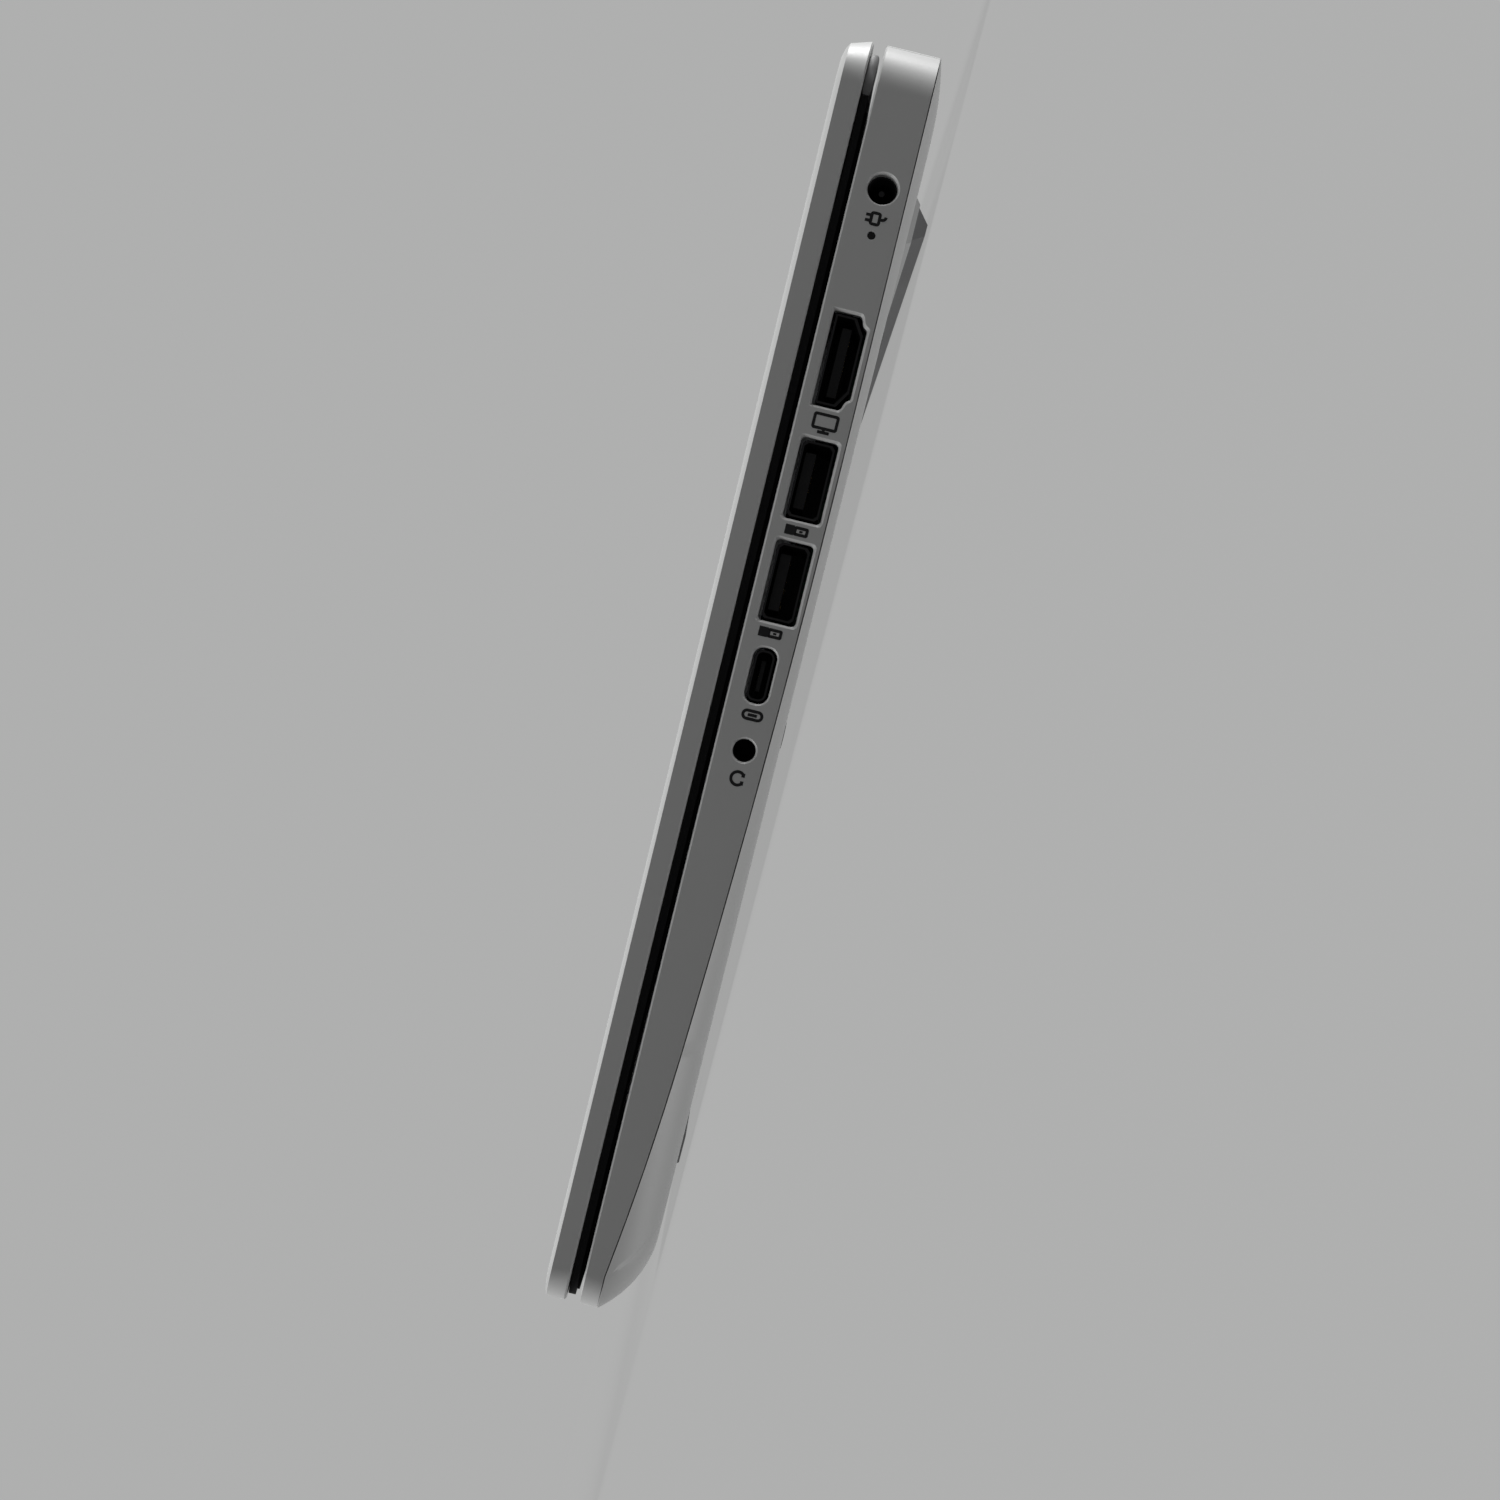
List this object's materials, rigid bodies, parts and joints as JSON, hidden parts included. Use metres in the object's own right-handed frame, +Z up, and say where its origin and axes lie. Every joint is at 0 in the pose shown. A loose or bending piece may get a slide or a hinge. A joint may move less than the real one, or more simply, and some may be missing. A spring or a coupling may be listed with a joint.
{
  "type": "laptop computer",
  "caption": "Slim clamshell laptop with a hinged screen lid, keyboard deck, click touchpad and a row of sockets along one side.",
  "frame": {"origin": "middle of the footprint on the table, under the feet", "axes": "+X to the user's right, towards the side with the sockets; +Y to the rear, where the hinge is; +Z up"},
  "size_m": [0.325, 0.2231, 0.022],
  "materials": {
    "white_shell": "fine satin white paint",
    "white_plastic": "satin white moulding",
    "white_keys": "matt white key caps",
    "grey_hinge": "satin grey barrel",
    "dark_plastic": "fine matt black",
    "dark_rubber": "matt grey-black rubber",
    "screen_glass": "dark anti-glare screen",
    "pad_surface": "smooth satin touch surface",
    "steel": "plain pressed steel",
    "port_steel": "folded bright steel",
    "copper": "bare copper",
    "fin_metal": "bare fins",
    "board": "green board lacquer",
    "chip": "moulded chip package",
    "light_guide": "clear light guide",
    "lens": "dark lens"
  },
  "bodies": {
    "base": {"top_case": "white_plastic", "bottom_cover": "white_plastic", "rear_trim": "white_plastic", "rear_foot": "dark_rubber", "front_foot": "dark_rubber", "speaker_grille": "white_plastic", "hinge_cover": "grey_hinge", "hinge_bracket_right": "steel", "hinge_bracket_left": "steel", "keyboard_frame": "white_plastic", "keyboard_plate": "steel", "touchpad_bracket": "steel", "touchpad_switch": "chip", "power_jack": "dark_plastic", "power_jack_pin": "port_steel", "charge_light": "light_guide", "video_port": "port_steel", "type_a_port_rear": "port_steel", "type_a_port_front": "port_steel", "type_c_port": "port_steel", "port_cores": "dark_plastic", "headset_jack": "dark_plastic", "motherboard": "board", "board_chips": "chip", "memory_modules": "board", "storage_module": "board", "radio_card": "board", "cooling_plate": "copper", "heat_pipe": "copper", "heat_sink": "fin_metal", "fan_housing": "dark_plastic", "battery_pack": "dark_plastic", "speaker_right": "dark_plastic", "speaker_left": "dark_plastic"},
    "lid": {"lid_cover": "white_shell", "screen_bezel": "dark_plastic", "lid_bumper": "dark_rubber", "display_panel": "screen_glass", "camera_module": "lens", "antenna_right": "board", "antenna_left": "board", "hinge_arm_right": "steel", "hinge_arm_left": "steel"},
    "touchpad": {"touchpad": "pad_surface"},
    "fan_rotor": {"fan_rotor": "dark_plastic"},
    "keys_function_row": {"keys_function_row": "white_keys"},
    "keys_number_row": {"keys_number_row": "white_keys"},
    "keys_upper_row": {"keys_upper_row": "white_keys"},
    "keys_home_row": {"keys_home_row": "white_keys"},
    "keys_lower_row": {"keys_lower_row": "white_keys"},
    "keys_bottom_row": {"keys_bottom_row": "white_keys"},
    "space_bar": {"space_bar": "white_keys"},
    "enter_key": {"enter_key": "white_keys"},
    "power_key": {"power_key": "white_keys"},
    "arrow_keys": {"arrow_keys": "white_keys"}
  },
  "joints": [
    {"name": "lid_hinge", "type": "hinge", "parent": "base", "child": "lid", "pos_m": [0, 0.10889, 0.01795], "axis": [-1, 0, 0], "range_deg": [0, 135]},
    {"name": "touchpad_click", "type": "hinge", "parent": "base", "child": "touchpad", "pos_m": [0, -0.02962, 0.01133], "axis": [1, 0, 0], "range_deg": [0, 0.38], "stiffness_Nm_per_rad": 2, "springref_deg": -1.15},
    {"name": "fan_spin", "type": "hinge", "parent": "base", "child": "fan_rotor", "pos_m": [-0.08, 0.04952, 0.00942], "axis": [0, -0.0156, 0.9999], "continuous": true},
    {"name": "keys_function_row_press", "type": "slide", "parent": "base", "child": "keys_function_row", "axis": [0, -0.0156, 0.9999], "range_m": [-0.0013, 0], "stiffness_N_per_m": 600, "springref_m": 0.0008},
    {"name": "keys_number_row_press", "type": "slide", "parent": "base", "child": "keys_number_row", "axis": [0, -0.0156, 0.9999], "range_m": [-0.0013, 0], "stiffness_N_per_m": 600, "springref_m": 0.0008},
    {"name": "keys_upper_row_press", "type": "slide", "parent": "base", "child": "keys_upper_row", "axis": [0, -0.0156, 0.9999], "range_m": [-0.0013, 0], "stiffness_N_per_m": 600, "springref_m": 0.0008},
    {"name": "keys_home_row_press", "type": "slide", "parent": "base", "child": "keys_home_row", "axis": [0, -0.0156, 0.9999], "range_m": [-0.0013, 0], "stiffness_N_per_m": 600, "springref_m": 0.0008},
    {"name": "keys_lower_row_press", "type": "slide", "parent": "base", "child": "keys_lower_row", "axis": [0, -0.0156, 0.9999], "range_m": [-0.0013, 0], "stiffness_N_per_m": 600, "springref_m": 0.0008},
    {"name": "keys_bottom_row_press", "type": "slide", "parent": "base", "child": "keys_bottom_row", "axis": [0, -0.0156, 0.9999], "range_m": [-0.0013, 0], "stiffness_N_per_m": 600, "springref_m": 0.0008},
    {"name": "space_bar_press", "type": "slide", "parent": "base", "child": "space_bar", "axis": [0, -0.0156, 0.9999], "range_m": [-0.0013, 0], "stiffness_N_per_m": 600, "springref_m": 0.0008},
    {"name": "enter_key_press", "type": "slide", "parent": "base", "child": "enter_key", "axis": [0, -0.0156, 0.9999], "range_m": [-0.0013, 0], "stiffness_N_per_m": 600, "springref_m": 0.0008},
    {"name": "power_key_press", "type": "slide", "parent": "base", "child": "power_key", "axis": [0, -0.0156, 0.9999], "range_m": [-0.0013, 0], "stiffness_N_per_m": 600, "springref_m": 0.0008},
    {"name": "arrow_keys_press", "type": "slide", "parent": "base", "child": "arrow_keys", "axis": [0, -0.0156, 0.9999], "range_m": [-0.0013, 0], "stiffness_N_per_m": 600, "springref_m": 0.0008}
  ]
}
